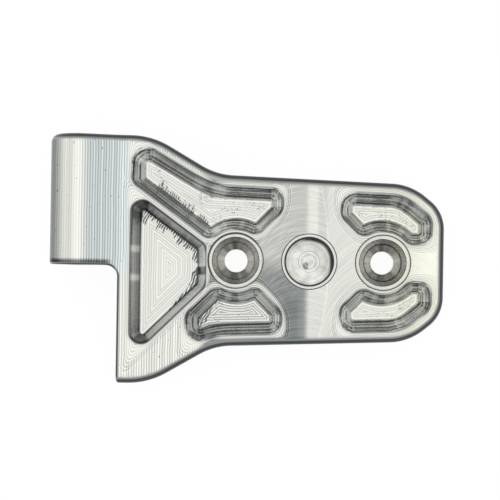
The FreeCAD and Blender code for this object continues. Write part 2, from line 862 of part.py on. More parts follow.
def build_turned_cut(body, name, half_profile, centre_x):
    """Cut a half profile turned about an upright axis at a place along the line of the holes."""
    sketch = new_sketch(body, f"{name}_sketch", "XZ_Plane")
    if abs(centre_x.value) > 1e-9:
        sketch.AttachmentOffset = Placement(Vector(centre_x.value, 0, 0), Rotation())
        sketch.setExpression("AttachmentOffset.Base.x", centre_x.text)
    add_profile(sketch, half_profile)
    return add_turned_cut(body, name, sketch, "V_Axis")


def check(doc):
    """Stop if any object of the document failed or has a broken shape."""
    for item in doc.Objects:
        if "Invalid" in item.State or "Error" in item.State:
            raise RuntimeError(f"{item.Label} failed: {item.State}")
        shape = getattr(item, "Shape", None)
        if item.isDerivedFrom("PartDesign::Feature") and (shape.isNull() or not shape.isValid()):
            raise RuntimeError(f"{item.Label} has no valid shape")


def build_leaf(doc, size):
    """The whole leaf, in the order in which it would be milled."""
    leaf = doc.addObject("PartDesign::Body", "hinge_leaf")
    leaf.Label = "hinge_leaf"
    blank = build_blank(leaf, size)
    doc.recompute()
    profile = build_side_profile(leaf, size)
    doc.recompute()
    if profile.Shape.Volume >= blank.Shape.Volume:
        raise RuntimeError("the side profile took nothing off the blank")
    round_outline(leaf, size, profile)
    doc.recompute()
    build_pin_bore(leaf, size)
    doc.recompute()
    side_outlines = [
        upper_left_pocket(size),
        lower_left_pocket(size),
        upper_right_pocket(size),
        mirrored(*upper_right_pocket(size)),
    ]
    triangle = [triangle_pocket(size)]
    draft, steep_draft = size["pocket_draft"], size["triangle_draft"]
    side_tool = build_pocket_tool(doc, "side_pocket_tool", size, side_outlines, draft, False)
    triangle_tool = build_pocket_tool(doc, "triangle_tool", size, triangle, steep_draft, True)
    cut_pockets(leaf, "side_pockets", side_tool)
    doc.recompute()
    cut_pockets(leaf, "triangle", triangle_tool)
    doc.recompute()
    half_spacing = size["hole_spacing"] * 0.5
    build_screw_hole(leaf, size, "barrel_side_hole", -half_spacing)
    build_screw_hole(leaf, size, "nose_side_hole", half_spacing)
    build_recess(leaf, size)
    doc.recompute()
    return leaf


def main():
    os.makedirs("parts", exist_ok=True)
    doc = FreeCAD.newDocument("hinge")
    size = make_sheet(doc)
    leaf = build_leaf(doc, size)
    check(doc)
    shape = leaf.Shape
    if shape.isNull() or not shape.isValid() or len(shape.Solids) != 1:
        raise RuntimeError("the leaf is not one valid solid")
    shape.exportStep(f"parts/{leaf.Label}.step")
    box = shape.optimalBoundingBox()
    print(f"{leaf.Label}: {box.XLength:.2f} x {box.YLength:.2f} x {box.ZLength:.2f} mm,")
    print(f"volume {shape.Volume / 1000:.2f} cm3, {len(shape.Faces)} faces")


main()
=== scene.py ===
import logging
import math
from dataclasses import dataclass, field
from enum import Enum

import bpy
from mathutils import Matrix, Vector

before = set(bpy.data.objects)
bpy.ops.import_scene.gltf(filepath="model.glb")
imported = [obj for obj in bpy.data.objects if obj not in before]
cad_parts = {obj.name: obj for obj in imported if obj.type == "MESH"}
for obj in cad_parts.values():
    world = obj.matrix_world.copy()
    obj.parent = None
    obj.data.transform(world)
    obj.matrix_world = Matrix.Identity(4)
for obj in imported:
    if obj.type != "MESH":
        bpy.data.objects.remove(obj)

LOG = logging.getLogger("hinge_leaf")
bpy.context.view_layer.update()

Colour = tuple[float, float, float]
Span = tuple[float, float]
Band = tuple[float, float, float]
Tree = bpy.types.NodeTree
Socket = bpy.types.NodeSocket


def paint(red: int, green: int, blue: int) -> Colour:
    """Turn a colour as it looks on a screen into the linear one that a shader takes.

    Args:
        red: The red share, from 0 to 255.
        green: The green share, from 0 to 255.
        blue: The blue share, from 0 to 255.

    Returns:
        The three shares in linear light.
    """

    def linear(share: float) -> float:
        return share / 12.92 if share <= 0.04045 else ((share + 0.055) / 1.055) ** 2.4

    return tuple(linear(share / 255) for share in (red, green, blue))


# ---------------------------------------------------------------- patterns as formulas


class Signal:
    """A number that varies over a surface: one output of a node, with arithmetic."""

    def __init__(self, bench: "Bench", socket: Socket) -> None:
        self.bench = bench
        self.socket = socket

    def _math(self, operation: str, *others: "Signal | float") -> "Signal":
        """Add a Math node that starts from this number."""
        return self.bench.math(operation, self, *others)

    def __add__(self, other: "Signal | float") -> "Signal":
        """Add two numbers."""
        return self._math("ADD", other)

    def __sub__(self, other: "Signal | float") -> "Signal":
        """Take one number from another."""
        return self._math("SUBTRACT", other)

    def __mul__(self, other: "Signal | float") -> "Signal":
        """Multiply two numbers."""
        return self._math("MULTIPLY", other)

    def __rsub__(self, other: float) -> "Signal":
        """Take this number from a plain one."""
        return self.bench.math("SUBTRACT", other, self)

    __radd__ = __add__
    __rmul__ = __mul__

    def least(self, *others: "Signal | float") -> "Signal":
        """The least of several numbers."""
        result = self
        for other in others:
            result = result._math("MINIMUM", other)
        return result

    def rounded_least(self, spread: float, *others: "Signal | float") -> "Signal":
        """The least of several numbers, with a round passage from one to the next.

        Args:
            spread: How far the passage reaches; nought leaves it sharp.
            others: The numbers to compare with.

        Returns:
            The rounded least.
        """
        if spread == 0:
            return self.least(*others)
        result = self
        for other in others:
            result = result._math("SMOOTH_MIN", other, spread)
        return result

    def most(self, *others: "Signal | float") -> "Signal":
        """The greatest of several numbers."""
        result = self
        for other in others:
            result = result._math("MAXIMUM", other)
        return result

    def size(self) -> "Signal":
        """The number without its sign."""
        return self._math("ABSOLUTE")

    def root(self) -> "Signal":
        """The square root."""
        return self._math("SQRT")

    def fraction(self) -> "Signal":
        """What is left above the next whole number down."""
        return self._math("FRACT")

    def whole(self) -> "Signal":
        """The next whole number down."""
        return self._math("FLOOR")

    def cosine(self) -> "Signal":
        """The cosine of the number."""
        return self._math("COSINE")

    def power(self, exponent: float) -> "Signal":
        """The number raised to a power."""
        return self._math("POWER", exponent)

    def toward(self, other: "Signal | float", share: "Signal | float") -> "Signal":
        """Move a share of the way to another number."""
        return self + (other - self) * share

    def rise(self, low: float, high: float) -> "Signal":
        """Rise smoothly from 0 at low to 1 at high, or fall where low is the greater."""
        return self.bench.ease(self, low, high)

    def band(self, low: float, high: float, soft: float) -> "Signal":
        """1 between low and high, and 0 outside, over soft edges."""
        return self.rise(low - soft, low + soft) * self.rise(high + soft, high - soft)


class Bench:
    """Adds nodes to one node tree, so that a pattern can be written as a formula."""

    rows = 12
    spacing = (200, 160)

    def __init__(self, tree: Tree) -> None:
        self.tree = tree
        self.count = 0

    @classmethod
    def emptied(cls, owner: bpy.types.Material | bpy.types.World) -> "Bench":
        """A bench on the emptied node tree of a material or a world."""
        owner.use_nodes = True
        owner.node_tree.nodes.clear()
        return cls(owner.node_tree)

    def node(self, kind: str, **settings: object) -> bpy.types.Node:
        """Add a node.

        Args:
            kind: The node's type.
            settings: Its own settings, by name.

        Returns:
            The new node, placed in reading order.
        """
        node = self.tree.nodes.new(kind)
        column, row = divmod(self.count, self.rows)
        node.location = (self.spacing[0] * column, -self.spacing[1] * row)
        self.count += 1
        for name, setting in settings.items():
            setattr(node, name, setting)
        return node

    def feed(self, socket: Socket, value: object) -> None:
        """Link a signal or socket to an input, or set a plain value on it."""
        if isinstance(value, Signal):
            self.tree.links.new(value.socket, socket)
        elif isinstance(value, Socket):
            self.tree.links.new(value, socket)
        else:
            socket.default_value = value

    def wire(self, node: bpy.types.Node, **inputs: object) -> None:
        """Feed a node's inputs, each by its name in lower case with underscores."""
        for name, value in inputs.items():
            self.feed(node.inputs[name.replace("_", " ").title()], value)

    def math(self, operation: str, *inputs: Signal | float) -> Signal:
        """Add a Math node."""
        node = self.node("ShaderNodeMath", operation=operation)
        for socket, value in zip(node.inputs, inputs):
            self.feed(socket, value)
        return Signal(self, node.outputs[0])

    def ease(self, value: Signal, low: float, high: float) -> Signal:
        """Map a number to 0 at low and 1 at high, with a smooth start and end."""
        node = self.node("ShaderNodeMapRange", interpolation_type="SMOOTHSTEP")
        self.wire(node, value=value, from_min=low, from_max=high)
        return Signal(self, node.outputs["Result"])

    def split(self, vector: Socket) -> tuple[Signal, Signal, Signal]:
        """The three parts of a vector."""
        node = self.node("ShaderNodeSeparateXYZ")
        self.feed(node.inputs[0], vector)
        return tuple(Signal(self, socket) for socket in node.outputs)

    def join(self, x: Signal | float, y: Signal | float, z: Signal | float) -> Socket:
        """A vector from its three parts."""
        node = self.node("ShaderNodeCombineXYZ")
        for socket, value in zip(node.inputs, (x, y, z)):
            self.feed(socket, value)
        return node.outputs[0]

    def noise(
        self,
        x: Signal | float,
        y: Signal | float,
        z: Signal | float,
        detail: float = 2.0,
        roughness: float = 0.5,
    ) -> Signal:
        """Smooth noise from 0 to 1 at a place given in grains of the noise."""
        node = self.node("ShaderNodeTexNoise", noise_dimensions="3D")
        place = self.join(x, y, z)
        self.wire(node, vector=place, scale=1.0, detail=detail, roughness=roughness)
        return Signal(self, node.outputs[0])

    def dice(self, value: Signal) -> Signal:
        """A number from 0 to 1 drawn anew for each value."""
        node = self.node("ShaderNodeTexWhiteNoise", noise_dimensions="1D")
        self.wire(node, w=value)
        return Signal(self, node.outputs["Value"])

    def blend(
        self,
        base: Socket | Colour,
        over: Socket | Colour,
        share: Signal | float,
    ) -> Socket:
        """Lay one colour over another by a share."""
        node = self.node("ShaderNodeMix", data_type="RGBA")
        self.feed(node.inputs[0], share)
        for socket, colour in ((node.inputs[6], base), (node.inputs[7], over)):
            self.feed(socket, (*colour, 1.0) if isinstance(colour, tuple) else colour)
        return node.outputs[2]

    def use(self, group: Tree, **inputs: Signal | float) -> dict[str, Signal]:
        """Place an effect.

        Args:
            group: The effect's node group.
            inputs: Its inputs, by name in lower case with underscores.

        Returns:
            Its outputs, by the same kind of name.
        """
        node = self.node("ShaderNodeGroup", node_tree=group)
        self.wire(node, **inputs)
        return {out.name.lower().replace(" ", "_"): Signal(self, out) for out in node.outputs}


class Effect(Bench):
    """A shader node group: an effect with named number inputs and outputs."""

    kind = "NodeSocketFloat"

    def __init__(self, name: str, inputs: dict[str, float], outputs: list[str]) -> None:
        tree = bpy.data.node_groups.new(name, "ShaderNodeTree")
        for label, default in inputs.items():
            socket = tree.interface.new_socket(label, in_out="INPUT", socket_type=self.kind)
            socket.default_value = default
        for label in outputs:
            tree.interface.new_socket(label, in_out="OUTPUT", socket_type=self.kind)
        super().__init__(tree)
        self.inlet = self.node("NodeGroupInput")
        self.outlet = self.node("NodeGroupOutput")

    def given(self, label: str) -> Signal:
        """One of the effect's inputs."""
        return Signal(self, self.inlet.outputs[label])

    def put_out(self, label: str, value: Signal) -> None:
        """Set one of the effect's outputs."""
        self.feed(self.outlet.inputs[label], value)


# ---------------------------------------------------------------- the plan, in millimetres


@dataclass(frozen=True)
class Plan:
    """The leaf seen from above, with the sizes that the cutter's paths follow.

    Angles are in degrees; a reach is how far a wall lies from the origin.
    """

    half_width: float = 32.0
    taper: float = 2.1
    wing_half_span: float = 48.1
    shoulder_angle: float = 30.2
    shoulder_reach: float = 10.5
    nose_reach: float = 52.1
    nose_angle: float = 39.0
    nose_corner_reach: float = 48.3
    notch_wall: float = -74.25
    knuckle_end: float = -2.5
    knuckle_left: float = -100.9
    half_spacing: float = 28.5
    rim: float = 4.1
    nose_rim: float = 4.6
    boss_radius: float = 11.95
    web_angle: float = 45.0
    web_reach: float = -20.85
    web_left: float = -10.2
    web_right: float = -11.9
    nose_land: float = -7.05
    wing_rim: float = 69.2
    half_rib: float = 1.05
    upper_rib: Span = (36.2, 18.0)
    lower_rib: Span = (44.5, 19.8)
    lower_left_end: float = 47.85
    triangle_end: float = -40.15
    triangle_spread_share: float = 0.7

    @staticmethod
    def inside(x: Signal, y: Signal, heading: float, reach: float) -> Signal:
        """How far a place lies inside a straight wall.

        Args:
            x: The place along the leaf.
            y: The place across it.
            heading: The wall's direction in degrees, walked with the inside on the left.
            reach: How far the wall lies from the origin, towards its right.

        Returns:
            The distance, below nought outside the wall.
        """
        angle = math.radians(heading)
        return reach - (x * math.sin(angle) - y * math.cos(angle))

    def outside_boss(self, x: Signal, y: Signal, centre: float) -> Signal:
        """How far a place lies outside a screw boss."""
        along = x - centre
        return (along * along + y * y).root() - self.boss_radius

    def side(self, x: Signal, y: Signal, rim: float) -> Signal:
        """How far a place lies inside the upper side, with its shoulder."""
        plate = self.inside(x, y, 180 - self.taper, self.half_width - rim)
        shoulder = self.inside(x, y, 180 - self.shoulder_angle, self.shoulder_reach - rim)
        return plate.most(shoulder)

    def outline(self, x: Signal, y: Signal) -> Signal:
        """How far a place lies inside the leaf's outline."""
        across = y.size()
        nose = self.inside(x, across, 180 - self.nose_angle, self.nose_corner_reach)
        notch = (x - self.notch_wall).most(y - self.knuckle_end)
        return self.side(x, across, 0).least(
            nose, self.nose_reach - x, self.wing_half_span - across, notch, x - self.knuckle_left
        )

    def upper_left(self, x: Signal, y: Signal, spread: float) -> Signal:
        """How far it lies inside the upper left pocket, with corners rounded by spread."""
        angle, reach = self.upper_rib
        return self.side(x, y, self.rim).rounded_least(
            spread,
            self.inside(x, y, -angle, reach - self.half_rib),
            self.outside_boss(x, y, -self.half_spacing),
            self.inside(x, y, self.web_angle, self.web_reach),
            self.web_left - x,
            self.wing_rim + x,
        )

    def lower_left(self, x: Signal, y: Signal, spread: float) -> Signal:
        """How far it lies inside the lower left pocket, with corners rounded by spread."""
        angle, reach = self.lower_rib
        return self.side(x, y * -1, self.rim).rounded_least(
            spread,
            self.inside(x, y, 180 + angle, reach - self.half_rib),
            self.outside_boss(x, y, -self.half_spacing),
            self.inside(x, y, 180 - self.web_angle, self.web_reach),
            self.web_left - x,
            self.lower_left_end + x,
        )

    def right_pair(self, x: Signal, y: Signal, spread: float) -> Signal:
        """How far it lies inside the pockets at the nose, with corners rounded by spread."""
        across = y.size()
        plate = self.inside(x, across, 180 - self.taper, self.half_width - self.rim)
        corner_reach = self.nose_corner_reach - self.nose_rim
        return plate.rounded_least(
            spread,
            self.inside(x, across, 180 - self.nose_angle, corner_reach),
            self.nose_reach - self.nose_rim - x,
            across + self.nose_land,
            x + self.web_right,
            self.inside(x, across, 360 - self.web_angle, self.web_reach),
            self.outside_boss(x, across, self.half_spacing),
        )

    def triangle(self, x: Signal, y: Signal, spread: float) -> Signal:
        """How far it lies inside the triangle, with corners rounded by spread."""
        upper_angle, upper_reach = self.upper_rib
        lower_angle, lower_reach = self.lower_rib
        under_rib = self.inside(x, y, 180 - upper_angle, -(upper_reach + self.half_rib))
        return under_rib.rounded_least(
            spread,
            self.inside(x, y, lower_angle, -(lower_reach + self.half_rib)),
            self.triangle_end - x,
            self.wing_rim + x,
        )

    def pockets(self, x: Signal, y: Signal, spread: float) -> Signal:
        """How far a place lies inside the nearest pocket."""
        return self.triangle(x, y, spread * self.triangle_spread_share).most(
            self.upper_left(x, y, spread),
            self.lower_left(x, y, spread),
            self.right_pair(x, y, spread),
        )


# ---------------------------------------------------------------- shared effects


@dataclass(frozen=True)
class CutterPasses:
    """Lines that a cutter leaves, one for each pass beside the last."""

    def build(self) -> Tree:
        """Make the effect.

        Its Phase counts the passes, its Cusp peaks between them, and its Shade is drawn anew
        for each one.
        """
        effect = Effect("cutter_passes", {"Phase": 0.0, "Seed": 0.0}, ["Cusp", "Shade"])
        phase = effect.given("Phase")
        wave = (phase * (2 * math.pi)).cosine() * 0.5 + 0.5
        effect.put_out("Cusp", wave * wave)
        effect.put_out("Shade", effect.dice(phase.whole() + effect.given("Seed")))
        return effect.tree


@dataclass(frozen=True)
class FaceMillSwirl:
    """The arcs that a face mill's teeth leave while it travels across the plate.

    The grains are counted in each millimetre, on the way of the travel and beside it.
    """

    fine: float = 2.4
    fine_roughness: float = 0.65
    coarse: float = 0.9
    beside: float = 0.05
    flattest: float = 4.0

    def build(self) -> Tree:
        """Make the effect from a place in millimetres and the path's centre line and radius."""
        inputs = {"X": 0.0, "Y": 0.0, "Centre": 0.0, "Radius": 20.0}
        effect = Effect("face_mill_swirl", inputs, ["Fine", "Coarse"])
        x, y, radius = effect.given("X"), effect.given("Y"), effect.given("Radius")
        offset = x - effect.given("Centre")
        under = (radius * radius - offset * offset).most(self.flattest)
        phase = y - under.root()
        beside = x * self.beside
        fine = effect.noise(phase * self.fine, beside, 0.0, roughness=self.fine_roughness)
        effect.put_out("Fine", fine)
        effect.put_out("Coarse", effect.noise(phase * self.coarse, beside, 3.0, detail=1.0))
        return effect.tree


class MillPath(Enum):
    """The face mill's two paths over the plate: centre line and radius, in millimetres."""

    BARREL_SIDE = (-2.0, 20.5)
    NOSE_SIDE = (30.0, 25.0)


# ---------------------------------------------------------------- cutter marks and painted light and shade

# Tone and relief; the tone holds painted shade and reflections as well as cutter marks.
ToneAndRelief = tuple[Signal, Signal]


@dataclass(frozen=True)
class Casts:
    """Casts of the bare metal, as they look facing the light; a tone scales one of them.

    The cool cast is a painted reflection on the ramp; the slate cast tints the painted shade.
    """

    plain: Colour = paint(255, 255, 248)
    cool_reflection: Colour = paint(244, 253, 252)
    slate: Colour = paint(237, 248, 249)
    steel: Colour = paint(248, 251, 250)
    warm: Colour = paint(255, 254, 248)
    cream: Colour = paint(255, 255, 241)
    black: Colour = (0.0, 0.0, 0.0)


@dataclass
class Spot:
    """A place on the leaf, as numbers that vary over its surface.

    Attributes:
        x: The place along the leaf, in millimetres, as are y and z.
        lean_x: How far the surface faces along the leaf, as lean_y is for across and up for up.
        pocket: How far the place lies inside a pocket with rounded corners.
        mitred: The same for a pocket with sharp corners.
        edge: How far it lies inside the leaf's outline.
        ring: How far it lies from the nearer screw hole's axis.
        middle: How far it lies from the recess's axis.
        in_pocket: 1 in a pocket and 0 elsewhere, as the other masks are for their zones.
        glow: 1 on the walls that the light falls on straight.
    """

    x: Signal
    y: Signal
    z: Signal
    lean_x: Signal
    lean_y: Signal
    up: Signal
    pocket: Signal
    mitred: Signal
    edge: Signal
    ring: Signal
    middle: Signal
    in_pocket: Signal
    in_triangle: Signal
    in_hole: Signal
    in_recess: Signal
    on_floor: Signal
    on_left: Signal
    glow: Signal


@dataclass(frozen=True)
class Survey:
    """Works out where a place is on the leaf and which zone it is in."""

    plan: Plan = field(default_factory=Plan)
    millimetres: float = 1000.0
    corner_spread: float = 8.0
    above_underside: Span = (1.0, 1.5)
    below_top: Span = (15.75, 15.2)
    pocket_mouth: Span = (-0.6, 0.2)
    triangle_mouth: Span = (-1.5, -1.0)
    hole_mouth: Span = (10.95, 10.85)
    floor: Span = (6.5, 6.1)
    left_zone: Span = (-39.0, -43.0)
    facing_along: Span = (0.35, 0.75)
    facing_back: Span = (-0.35, -0.75)
    foot: Span = (9.4, 8.6)
    boss_shadow: Band = (-5.6, -2.5, 0.4)
    boss_shadow_depth: float = 0.7

    def of(self, bench: Bench) -> Spot:
        """Survey the places that a material covers."""
        plan = self.plan
        coordinates = bench.node("ShaderNodeTexCoord")
        scaled = bench.node("ShaderNodeVectorMath", operation="SCALE")
        bench.feed(scaled.inputs[0], coordinates.outputs["Object"])
        bench.wire(scaled, scale=self.millimetres)
        x, y, z = bench.split(scaled.outputs[0])
        lean_x, lean_y, up = bench.split(coordinates.outputs["Normal"])
        pocket = plan.pockets(x, y, self.corner_spread)
        beside = x.size() - plan.half_spacing
        ring = (beside * beside + y * y).root()
        middle = (x * x + y * y).root()
        above = z.rise(*self.above_underside)
        in_pocket = pocket.rise(*self.pocket_mouth) * above * z.rise(*self.below_top)
        in_triangle = plan.triangle(x, y, 0.0).rise(*self.triangle_mouth)
        foot = lean_x.rise(*self.facing_along) * z.rise(*self.foot) * (1.0 - in_triangle)
        shadow = y.band(*self.boss_shadow) * self.boss_shadow_depth
        boss_end = lean_x.rise(*self.facing_back) * in_triangle * (1.0 - shadow)
        return Spot(
            x=x,
            y=y,
            z=z,
            lean_x=lean_x,
            lean_y=lean_y,
            up=up,
            pocket=pocket,
            mitred=plan.pockets(x, y, 0.0),
            edge=plan.outline(x, y),
            ring=ring,
            middle=middle,
            in_pocket=in_pocket,
            in_triangle=in_triangle,
            in_hole=ring.rise(*self.hole_mouth) * above,
            in_recess=middle.rise(*self.hole_mouth) * above,
            on_floor=z.rise(*self.floor),
            on_left=x.rise(*self.left_zone),
            glow=foot.most(boss_end) * in_pocket,
        )


@dataclass(frozen=True)
class BallNoseLand:
    """The knuckle, the ramp and the wing, milled in straight lines along the pin.

    Each tone is how much brighter or darker the metal gets over the span beside it.
    They are painted light: shade on the knuckle's far side, a highlight on its crown
    and a darker reflection on the ramp.
    """

    pitch: float = 0.98
    wander: float = 0.9
    relief: float = 0.014
    far_side: float = 0.485
    crown: float = 0.42
    crown_span: Span = (-100.2, -93.8)
    strip: float = 0.06
    strip_span: Span = (-91.9, -90.3)
    ramp: float = 0.10
    ramp_span: Span = (-88.4, -86.2)
    wing: float = 0.05
    wing_span: Span = (-77.0, -70.5)
    shade: float = 0.10
    cusp: float = 0.23
    lift: float = 0.08
    crown_share: float = 0.3
    marked_span: Span = (-90.5, -87.0)
    pit: float = 0.3
    pits: Span = (0.79, 0.82)
    knuckle_foot: float = 0.45
    notch_edge: float = 0.36

    def marks_and_painted_light(self, bench: Bench, spot: Spot, passes: Tree) -> ToneAndRelief:
        """Tone and relief."""
        x, y = spot.x, spot.y
        wander = bench.noise(x * 0.05, y * 0.06, 2.0) * self.wander
        lines = bench.use(passes, phase=x * (1 / self.pitch) + wander, seed=3.0)
        tone = x.rise(*self.crown_span) * self.crown + self.far_side
        tone = tone + x.rise(*self.strip_span) * self.strip - x.rise(*self.ramp_span) * self.ramp
        tone = tone + x.rise(*self.wing_span) * self.wing
        marks = (lines["shade"] - 0.5) * self.shade - lines["cusp"] * self.cusp + self.lift
        share = x.rise(*self.marked_span) * (1 - self.crown_share) + self.crown_share
        pit = bench.noise(x * 1.7, y * 0.6, 15.0, detail=0.0).rise(*self.pits)
        tone = tone + marks * share - pit * self.pit
        # Painted shade: a dark band along the knuckle's lower end, and the notch's wall that
        # faces away.
        foot = y.rise(0.3, -1.3) * y.rise(-3.0, -2.9) * x.rise(-75.5, -79.0)
        notch = spot.lean_x.rise(-0.05, -0.45) * x.rise(-74.8, -74.6) * y.rise(-2.5, -4.0)
        tone = (tone - foot * self.knuckle_foot).toward(self.notch_edge, notch)
        return tone, lines["cusp"] * self.relief


@dataclass(frozen=True)
class FaceMilledTop:
    """The plate's top: broad light and dark patches, which are painted reflections, under the
    arcs of a face mill.
    """

    tone: float = 0.885
    seam: Span = (0.6, -2.4)
    seam_wobble: float = 1.1
    barrel_side: float = 0.10
    low_side: float = 0.19
    core: float = 0.07
    core_band: Band = (-9.5, -3.8, 1.6)
    scratches: float = 0.24
    streak: float = 0.03
    streak_band: Band = (-0.9, 3.0, 0.7)
    beside_streak: float = 0.05
    beside_band: Band = (3.4, 6.8, 0.8)
    nose: float = 0.03
    nose_span: Span = (8.0, 36.0)
    nose_tip: float = 0.09
    nose_tip_span: Span = (36.0, 48.0)
    fine: float = 0.36
    coarse: float = 0.08
    nose_share: float = 0.7
    border: float = 0.05
    border_bend: float = 0.004
    border_band: Band = (7.2, 7.8, 0.2)
    second_path: Span = (7.3, 8.0)
    relief: float = 0.003

    def marks_and_painted_light(self, bench: Bench, spot: Spot) -> ToneAndRelief:
        """Tone and relief."""
        swirl, relief = self.swirl(bench, spot)
        return self.patches(bench, spot) + swirl, relief

    def patches(self, bench: Bench, spot: Spot) -> Signal:
        """Broad light and dark patches between the pockets, painted reflections, with scratches
        between the hole and the recess.
        """
        x, y = spot.x, spot.y
        ragged = x + (bench.noise(x * 0.1, y * 0.45, 5.0) - 0.5) * self.seam_wobble
        low, high = y.rise(4.0, -7.0), y.rise(6.0, 12.0)
        core = x.band(*self.core_band) * y.rise(-11.0, -17.0)
        scratch = bench.noise((x - y) * 1.1, (x + y) * 0.12, 17.0) - 0.5
        between = x.rise(-2.0, -8.0) * y.size().rise(17.0, 9.0)
        return (
            self.tone
            - ragged.rise(*self.seam) * (low * self.low_side + self.barrel_side)
            - core * self.core
            + scratch * between * self.scratches
            + ragged.band(*self.streak_band) * high * self.streak
            - ragged.band(*self.beside_band) * high * self.beside_streak
            + x.rise(*self.nose_span) * self.nose
            + x.rise(*self.nose_tip_span) * self.nose_tip
        )

    def swirl(self, bench: Bench, spot: Spot) -> ToneAndRelief:
        """Tone and relief of the face mill's arcs, on its two paths beside each other."""
        x, y = spot.x, spot.y
        group = FaceMillSwirl().build()
        marks = []
        for path in MillPath:
            centre, radius = path.value
            marks.append(bench.use(group, x=x, y=y, centre=centre, radius=radius))
        border = x + y * y * self.border_bend
        second = border.rise(*self.second_path)
        fine = marks[0]["fine"].toward(marks[1]["fine"], second)
        coarse = marks[0]["coarse"].toward(marks[1]["coarse"], second)
        strength = x.rise(12.0, -4.0) * (1 - self.nose_share) + self.nose_share
        tone = ((fine - 0.5) * self.fine + (coarse - 0.5) * self.coarse) * strength
        return tone + border.band(*self.border_band) * self.border, fine * self.relief


@dataclass(frozen=True)
class RoundedEdge:
    """The rounded edge that runs round the leaf, and the upright sides under it, with a painted
    dark reflection.
    """

    reach: Span = (3.6, 3.2)
    barrel: Span = (-76.0, -70.0)
    slope: float = 0.60
    slope_streaks: float = 0.16
    slope_span: Span = (0.99, 0.90)
    steep: float = 0.30
    steep_streaks: float = 0.1
    steep_span: Span = (0.90, 0.76)
    side: float = 0.68
    side_lines: float = 0.2
    side_span: Span = (0.2, 0.05)

    def over(self, bench: Bench, spot: Spot, tone: Signal) -> Signal:
        """Paint a dark reflection into a tone where the edge turns down, and give the upright
        sides their own tone with lines; the barrel's own curve is left alone.
        """
        along = spot.lean_x * spot.x.rise(*self.barrel)
        level = (1.0 - along * along - spot.lean_y * spot.lean_y).most(0.0).root()
        streak = bench.noise(spot.edge * 2.2, spot.x * 0.05, spot.y * 0.05) - 0.5
        lines = bench.noise(spot.z * 1.6, spot.x * 0.04, spot.y * 0.04) - 0.5
        slope = self.slope + streak * self.slope_streaks
        steep = self.steep + streak * self.steep_streaks
        side = self.side + lines * self.side_lines
        rounded = tone.toward(slope, level.rise(*self.slope_span))
        rounded = rounded.toward(steep, level.rise(*self.steep_span))
        rounded = rounded.toward(side, spot.up.rise(*self.side_span))
        return tone.toward(rounded, spot.edge.rise(*self.reach))


@dataclass(frozen=True)
class PocketLips:
    """Lips that flare out of the pockets, painted bright as a highlight and darker where they
    turn down as painted shade, with the fine lines of their last passes.
    """

    pitch: float = 0.62
    reach: Span = (-3.6, -3.1)
    bright: float = 0.95
    bright_share: float = 0.85
    bright_span: Span = (-2.4, -1.2)
    cusp: float = 0.2
    shade: float = 0.14
    turned_down: float = 0.56
    turned_span: Span = (0.90, 0.74)
    off_edge: Span = (2.6, 3.2)

    def over(self, bench: Bench, spot: Spot, passes: Tree, tone: Signal) -> Signal:
        """Lay the lips over a tone."""
        lines = bench.use(passes, phase=spot.pocket * (1 / self.pitch), seed=31.0)
        near = spot.pocket.rise(*self.reach)
        fine = (lines["cusp"] - 0.4) * self.cusp + (lines["shade"] - 0.5) * self.shade
        lip = tone.toward(self.bright, spot.pocket.rise(*self.bright_span) * self.bright_share)
        lip = (lip + fine).toward(self.turned_down, spot.up.rise(*self.turned_span) * near)
        return tone.toward(lip, near * spot.edge.rise(*self.off_edge))


@dataclass(frozen=True)
class PocketWalls:
    """The leaning walls: painted reflections in streaks along them, which change with the way a
    wall faces.
    """

    tone: float = 0.44
    fan: float = 0.28
    fan_grain: float = 6.0
    layer: float = 0.40
    fine: float = 0.6
    glint: float = 0.4
    low_glint: Band = (10.6, 11.1, 0.2)
    high_glint: Band = (13.0, 13.4, 0.2)
    mouth_line: float = 0.24
    mouth_height: Band = (14.1, 14.7, 0.2)
    foot_line: float = 0.36
    foot_height: Band = (7.1, 7.9, 0.3)
    triangle: float = 0.12
    triangle_rise: float = 0.2
    triangle_fine: float = 0.15
    triangle_share: float = 0.9
    long_wall: float = 0.38
    long_wall_lean: Span = (0.6, 0.85)
    patch: float = 0.3
    upper_patch: Band = (2.8, 5.4, 0.8)
    lower_patch: Band = (-8.4, -5.8, 0.8)
    lit: float = 0.9

    def marks_and_painted_light(self, bench: Bench, spot: Spot) -> Signal:
        """Tone of the walls, painted as reflections; the triangle's are smoother than the
        others.
        """
        x, y, z = spot.x, spot.y, spot.z
        lean_x, lean_y = spot.lean_x, spot.lean_y
        fan = bench.noise(lean_x * self.fan_grain, lean_y * self.fan_grain, 1.0, detail=1.0)
        layer = bench.noise(z * 0.8, lean_x * 1.4, lean_y * 1.4, detail=1.0)
        fine = bench.noise(z * 2.2, lean_x * 2.0, lean_y * 2.0 + x * 0.03, detail=1.0) - 0.5
        tone = self.tone + fan.rise(0.36, 0.64) * self.fan + layer.rise(0.38, 0.62) * self.layer
        tone = tone + fine * self.fine
        broken = bench.noise(x * 0.12, y * 0.12, 9.0).rise(0.36, 0.52)
        glint = z.band(*self.low_glint) * broken + z.band(*self.high_glint) * (1.0 - broken)
        # Painted shade: dark lines along the walls' mouths and feet.
        dark = z.band(*self.mouth_height) * self.mouth_line
        dark = dark + z.band(*self.foot_height) * self.foot_line
        tone = tone + glint * self.glint - dark
        patch = y.band(*self.upper_patch) + y.band(*self.lower_patch)
        smooth = self.triangle + z.rise(8.0, 14.5) * self.triangle_rise
        smooth = smooth + fine * self.triangle_fine
        long_wall = lean_x.rise(*self.long_wall_lean)
        smooth = smooth + long_wall * (patch * self.patch + self.long_wall)
        tone = tone.toward(smooth, spot.in_triangle * self.triangle_share)
        # Painted light on the walls that the light falls on straight.
        return tone.toward(self.lit, spot.glow)


